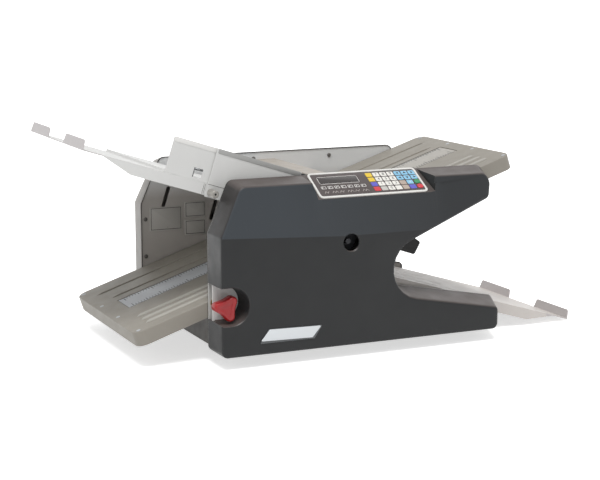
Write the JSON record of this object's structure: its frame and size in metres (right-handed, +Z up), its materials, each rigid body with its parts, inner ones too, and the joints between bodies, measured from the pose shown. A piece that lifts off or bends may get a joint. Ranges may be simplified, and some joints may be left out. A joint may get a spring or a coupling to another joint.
{
  "type": "paper folding machine",
  "caption": "Desktop paper folding machine with stacked fold rollers, two sloping fold tables with motor-driven stops, a feed tray, an exit tray, a hand knob and a slanted keypad.",
  "frame": {"origin": "on the desk, under the middle of the whole machine's box", "axes": "+X from the exit end to the feed end, +Y from the operator's side to the rear, +Z up"},
  "size_m": [0.872, 0.413, 0.3583],
  "materials": {
    "charcoal": "moulded textured housing plastic, charcoal",
    "housing_grey": "moulded textured housing plastic, light grey",
    "plate_white": "off-white powder-coated sheet steel",
    "plate_grey": "light grey powder-coated sheet steel",
    "pan_dark": "dark painted sheet steel",
    "steel": "machined bright steel",
    "screw_steel": "plated steel",
    "rubber_black": "black rubber",
    "roller_rubber": "dark grey polyurethane roller covering",
    "feed_rubber": "tan feed-roller rubber",
    "pad_rubber": "red-brown friction pad",
    "bush_bronze": "sintered bronze",
    "gear_plastic": "natural acetal",
    "idler_plastic": "white acetal",
    "tray_plastic": "moulded warm grey plastic",
    "label_white": "blank white laminate",
    "overlay": "printed brown membrane",
    "window": "dark display window",
    "key_white": "white embossed keys",
    "key_colour": "yellow and blue embossed keys",
    "key_green": "green key",
    "key_red": "red key",
    "board": "glass-fibre circuit board",
    "motor_dark": "black painted motor can",
    "knob_red": "red moulded plastic",
    "black_plastic": "black moulded plastic"
  },
  "bodies": {
    "chassis": {"near_side_plate": "plate_white", "far_side_plate": "plate_grey", "base_pan": "pan_dark", "cross_panel": "pan_dark", "cross_rods": "steel", "feet": "rubber_black", "front_cover": "charcoal", "rear_cover": "housing_grey", "edge_trims": "rubber_black", "cover_screws": "screw_steel", "label_plates": "label_white", "panel_bezel": "plate_white", "keypad_overlay": "overlay", "display_window": "window", "number_keys": "key_white", "function_keys": "key_colour", "circuit_boards": "board", "drive_motor": "motor_dark", "drive_belts": "rubber_black", "roller_bushes": "bush_bronze", "retard_pad": "pad_rubber", "infeed_plate": "plate_grey", "feed_guard": "plate_grey", "knob_bracket": "plate_white", "table_1_sheet": "plate_white", "table_1_upper": "plate_white", "table_1_bracket": "plate_grey", "table_2_sheet": "plate_white", "table_2_upper": "plate_white", "stop_motors": "motor_dark", "thumb_screws": "screw_steel", "feed_tray": "tray_plastic", "exit_tray": "tray_plastic", "tray_scales": "plate_grey", "power_inlet": "black_plastic"},
    "main_roller": {"main_roller": "roller_rubber", "main_gear": "gear_plastic"},
    "upper_roller": {"upper_roller": "roller_rubber", "upper_gear": "gear_plastic"},
    "left_roller": {"left_roller": "roller_rubber", "left_gear": "gear_plastic"},
    "lower_roller": {"lower_roller": "roller_rubber", "lower_gear": "gear_plastic"},
    "feed_roller": {"feed_shaft": "steel", "feed_tyres": "feed_rubber", "feed_clutch": "motor_dark"},
    "exit_roller": {"exit_shaft": "steel", "exit_wheels": "rubber_black"},
    "exit_idlers": {"exit_idlers": "idler_plastic"},
    "motor_rotor": {"motor_pulley": "steel"},
    "hand_knob": {"hand_knob": "knob_red", "knob_shaft": "idler_plastic"},
    "skew_lever": {"skew_lever": "black_plastic"},
    "fold_stop_1": {"fold_stop_1": "steel"},
    "fold_stop_2": {"fold_stop_2": "steel"},
    "stop_screw_1": {"stop_screw_1": "steel"},
    "stop_screw_2": {"stop_screw_2": "steel"},
    "start_key": {"start_key": "key_green"},
    "stop_key": {"stop_key": "key_red"},
    "power_switch": {"power_switch": "black_plastic"}
  },
  "joints": [
    {"name": "main_spin", "type": "hinge", "parent": "chassis", "child": "main_roller", "pos_m": [-0.02548, 0.0125, 0.185], "axis": [0, 1, 0], "continuous": true},
    {"name": "upper_spin", "type": "hinge", "parent": "chassis", "child": "upper_roller", "pos_m": [-0.01991, 0.0125, 0.22461], "axis": [0, 1, 0], "continuous": true},
    {"name": "left_spin", "type": "hinge", "parent": "chassis", "child": "left_roller", "pos_m": [-0.06282, 0.0125, 0.17067], "axis": [0, 1, 0], "continuous": true},
    {"name": "lower_spin", "type": "hinge", "parent": "chassis", "child": "lower_roller", "pos_m": [-0.06839, 0.0125, 0.13106], "axis": [0, 1, 0], "continuous": true},
    {"name": "feed_spin", "type": "hinge", "parent": "chassis", "child": "feed_roller", "pos_m": [0.04352, 0.0125, 0.236], "axis": [0, 1, 0], "continuous": true},
    {"name": "exit_spin", "type": "hinge", "parent": "chassis", "child": "exit_roller", "pos_m": [-0.10448, 0.0125, 0.145], "axis": [0, 1, 0], "continuous": true},
    {"name": "idler_spin", "type": "hinge", "parent": "chassis", "child": "exit_idlers", "pos_m": [-0.10448, 0.0125, 0.1654], "axis": [0, 1, 0], "continuous": true},
    {"name": "motor_spin", "type": "hinge", "parent": "chassis", "child": "motor_rotor", "pos_m": [-0.09948, 0.0125, 0.072], "axis": [0, 1, 0], "continuous": true},
    {"name": "knob_spin", "type": "hinge", "parent": "chassis", "child": "hand_knob", "pos_m": [-0.23148, 0.0125, 0.096], "axis": [0, 1, 0], "continuous": true},
    {"name": "skew_swing", "type": "hinge", "parent": "chassis", "child": "skew_lever", "pos_m": [0.06552, -0.1455, 0.172], "axis": [0, 1, 0], "range_deg": [-6, 6]},
    {"name": "stop_1_slide", "type": "slide", "parent": "chassis", "child": "fold_stop_1", "axis": [-0.9527, 0, 0.304], "range_m": [0, 0.18]},
    {"name": "stop_2_slide", "type": "slide", "parent": "chassis", "child": "fold_stop_2", "axis": [0.9578, 0, -0.2874], "range_m": [0, 0.18]},
    {"name": "screw_1_spin", "type": "hinge", "parent": "chassis", "child": "stop_screw_1", "pos_m": [-0.07374, -0.1125, 0.24755], "axis": [-0.9527, 0, 0.304], "range_deg": [0, 8102]},
    {"name": "screw_2_spin", "type": "hinge", "parent": "chassis", "child": "stop_screw_2", "pos_m": [-0.0172, 0.0125, 0.12253], "axis": [0.9578, 0, -0.2874], "range_deg": [0, 8102]},
    {"name": "start_press", "type": "slide", "parent": "chassis", "child": "start_key", "axis": [0, 0.5, -0.866], "range_m": [0, 0.0006], "stiffness_N_per_m": 400, "springref_m": -0.001},
    {"name": "stop_press", "type": "slide", "parent": "chassis", "child": "stop_key", "axis": [0, 0.5, -0.866], "range_m": [0, 0.0006], "stiffness_N_per_m": 400, "springref_m": -0.001},
    {"name": "switch_rock", "type": "hinge", "parent": "chassis", "child": "power_switch", "pos_m": [-0.14648, 0.1965, 0.074], "axis": [1, 0, 0], "range_deg": [-8, 8]}
  ],
  "couplings": [
    {"joint": "upper_spin", "follows": "main_spin", "ratio": -1},
    {"joint": "left_spin", "follows": "main_spin", "ratio": -1},
    {"joint": "lower_spin", "follows": "main_spin", "ratio": 1},
    {"joint": "feed_spin", "follows": "main_spin", "ratio": -1},
    {"joint": "exit_spin", "follows": "main_spin", "ratio": 1},
    {"joint": "idler_spin", "follows": "main_spin", "ratio": -1},
    {"joint": "motor_spin", "follows": "main_spin", "ratio": 2},
    {"joint": "knob_spin", "follows": "main_spin", "ratio": 2},
    {"joint": "screw_1_spin", "follows": "stop_1_slide", "rad_per_m": 785.4},
    {"joint": "screw_2_spin", "follows": "stop_2_slide", "rad_per_m": 785.4}
  ]
}
